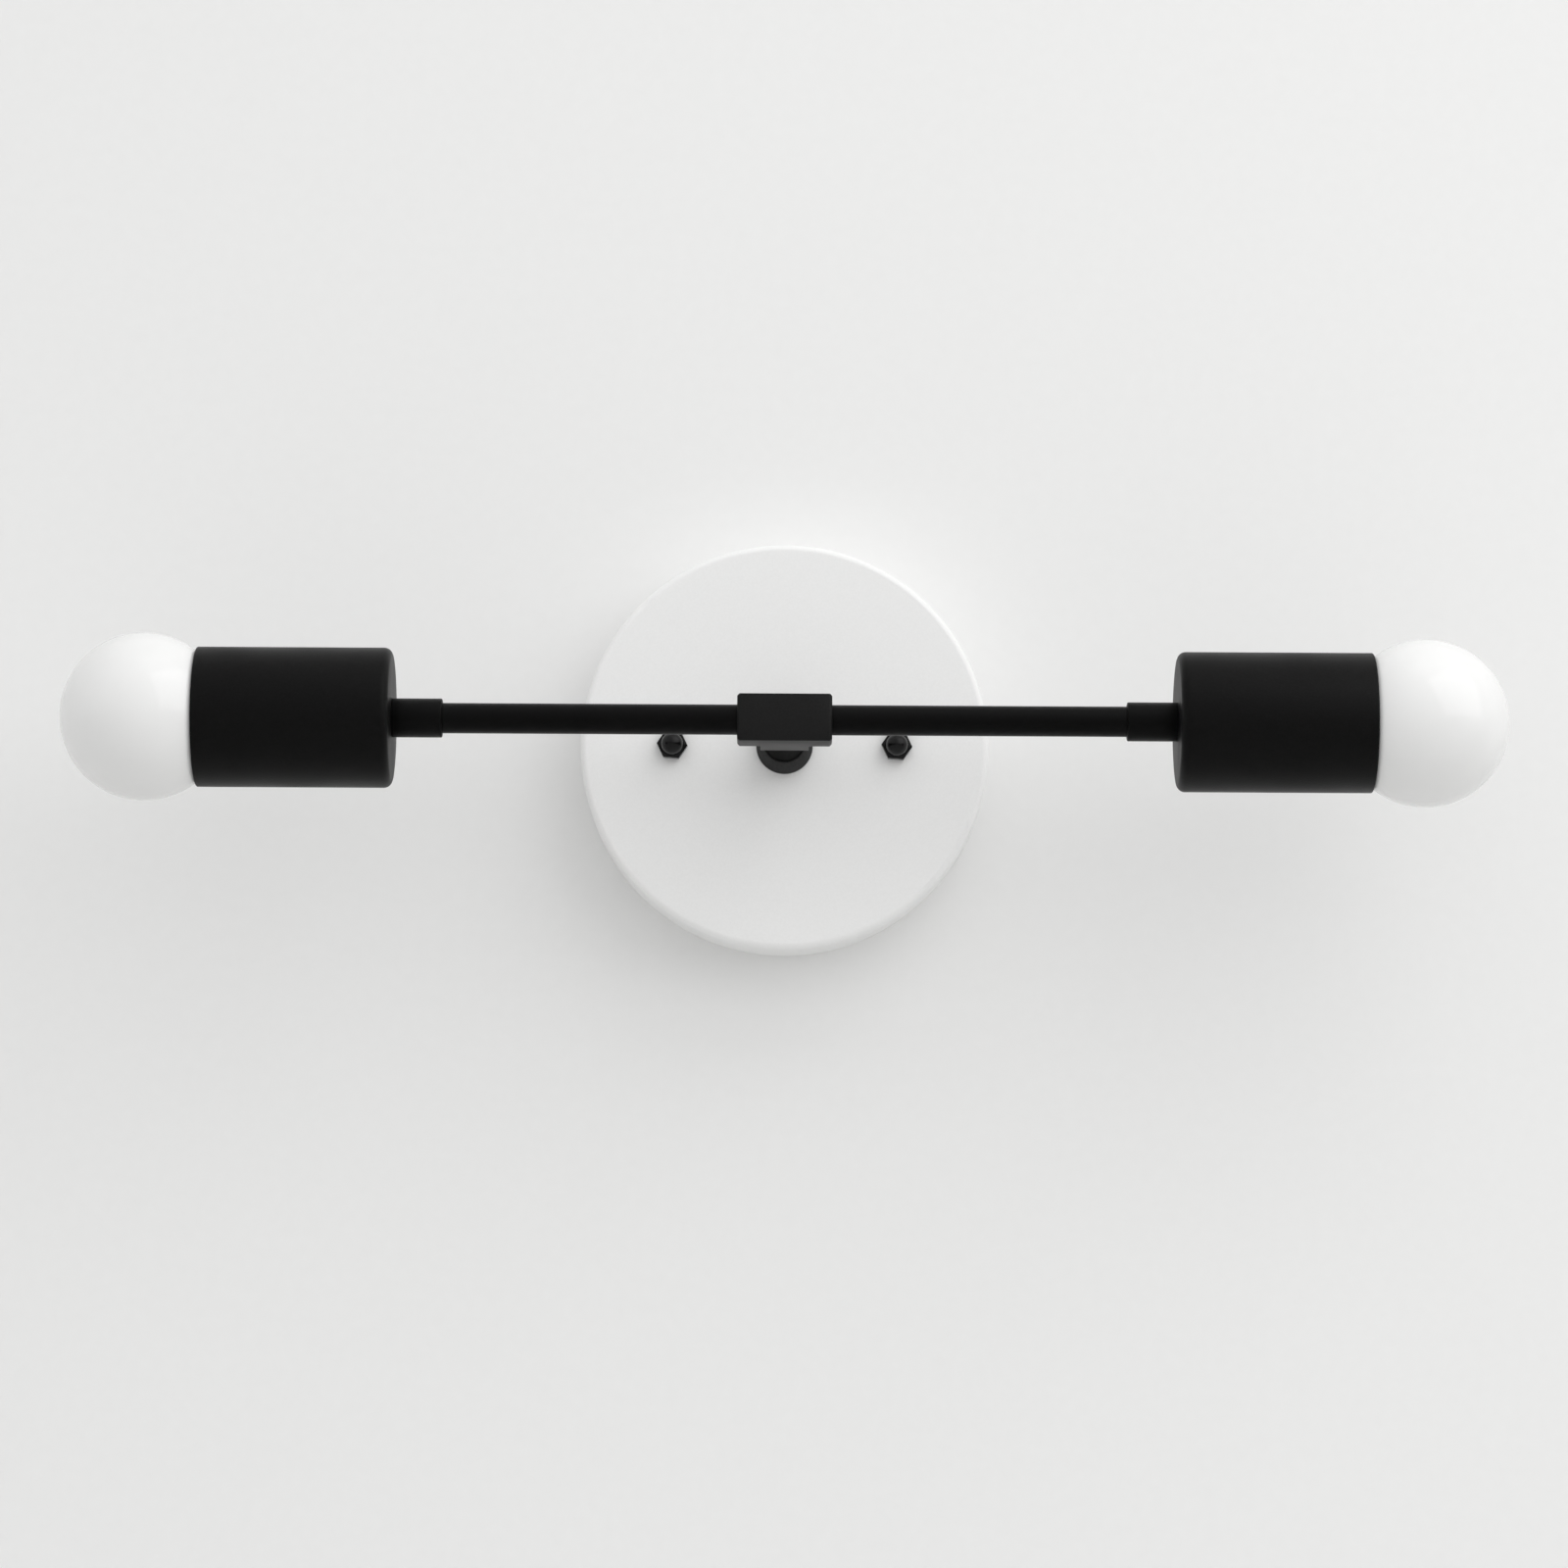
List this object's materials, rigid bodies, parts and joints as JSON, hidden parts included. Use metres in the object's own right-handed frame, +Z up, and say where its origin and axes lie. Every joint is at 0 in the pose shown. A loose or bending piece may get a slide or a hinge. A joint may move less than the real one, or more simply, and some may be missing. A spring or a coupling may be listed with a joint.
{
  "type": "vanity light",
  "caption": "Wall vanity light: round canopy, short stem and tee block with slim arms carrying cup lampholders and opal globe bulbs that unscrew.",
  "frame": {"origin": "centre of the mounting crossbar's rear face, on the wall plane", "axes": "+X to the viewer's right along the arms, +Y into the wall, +Z up"},
  "size_m": [0.434, 0.1141, 0.127],
  "materials": {
    "white_coat": "fine white powder coat, satin",
    "black_coat": "fine matt black powder coat",
    "black_plate": "black plated steel, semi-gloss",
    "zinc_steel": "bright zinc-plated steel",
    "green_screw": "green-dyed zinc plate",
    "copper_wire": "bare copper",
    "tinned_lug": "tinned brass",
    "brass": "drawn brass",
    "porcelain": "white glazed porcelain",
    "live_insulation": "black wire insulation",
    "neutral_insulation": "white wire insulation",
    "connector_plastic": "moulded nylon cap",
    "opal_glass": "glossy opal white glass",
    "bulb_base_metal": "rolled base shell, nickel-bright",
    "black_glass": "black glass insulator",
    "solder": "solder",
    "clear_glass": "clear glass",
    "tungsten": "drawn wire"
  },
  "bodies": {
    "fixture": {"canopy": "white_coat", "stem_collar": "black_coat", "stem_tube": "black_coat", "tee_block": "black_coat", "stem_nipple": "zinc_steel", "stem_nut": "zinc_steel", "stem_lock_washer": "zinc_steel", "crossbar": "zinc_steel", "mounting_studs": "zinc_steel", "stud_nuts": "zinc_steel", "cap_nuts": "black_plate", "earth_screw": "green_screw", "earth_lug": "tinned_lug", "earth_wire": "copper_wire", "wire_connectors": "connector_plastic", "cup_nuts": "zinc_steel", "cup_lock_washers": "zinc_steel", "bracket_screws": "zinc_steel", "terminal_screws": "brass", "left_arm_tube": "black_coat", "left_arm_coupling": "black_coat", "left_socket_cup": "black_coat", "left_cup_nipple": "zinc_steel", "left_socket_bracket": "zinc_steel", "left_lampholder_body": "porcelain", "left_lampholder_shell": "brass", "left_lampholder_contact": "brass", "left_live_wire": "live_insulation", "left_neutral_wire": "neutral_insulation", "right_arm_tube": "black_coat", "right_arm_coupling": "black_coat", "right_socket_cup": "black_coat", "right_cup_nipple": "zinc_steel", "right_socket_bracket": "zinc_steel", "right_lampholder_body": "porcelain", "right_lampholder_shell": "brass", "right_lampholder_contact": "brass", "right_live_wire": "live_insulation", "right_neutral_wire": "neutral_insulation"},
    "left_bulb_carrier": {"left_bulb_tip_contact": "solder"},
    "left_bulb": {"left_bulb_globe": "opal_glass", "left_bulb_shell": "bulb_base_metal", "left_bulb_insulator": "black_glass", "left_bulb_mount": "clear_glass", "left_bulb_filament": "tungsten"},
    "right_bulb_carrier": {"right_bulb_tip_contact": "solder"},
    "right_bulb": {"right_bulb_globe": "opal_glass", "right_bulb_shell": "bulb_base_metal", "right_bulb_insulator": "black_glass", "right_bulb_mount": "clear_glass", "right_bulb_filament": "tungsten"}
  },
  "joints": [
    {"name": "left_bulb_travel", "type": "slide", "parent": "fixture", "child": "left_bulb_carrier", "axis": [-1, 0, 0], "range_m": [0, 0.0128]},
    {"name": "left_bulb_turn", "type": "hinge", "parent": "left_bulb_carrier", "child": "left_bulb", "pos_m": [-0.1417, -0.0889, 0], "axis": [-1, 0, 0], "range_deg": [0, 1260]},
    {"name": "right_bulb_travel", "type": "slide", "parent": "fixture", "child": "right_bulb_carrier", "axis": [1, 0, 0], "range_m": [0, 0.0128]},
    {"name": "right_bulb_turn", "type": "hinge", "parent": "right_bulb_carrier", "child": "right_bulb", "pos_m": [0.1417, -0.0889, 0], "axis": [1, 0, 0], "range_deg": [0, 1260]}
  ],
  "couplings": [
    {"joint": "left_bulb_travel", "follows": "left_bulb_turn", "m_per_rad": 0.00057757},
    {"joint": "right_bulb_travel", "follows": "right_bulb_turn", "m_per_rad": 0.00057757}
  ]
}
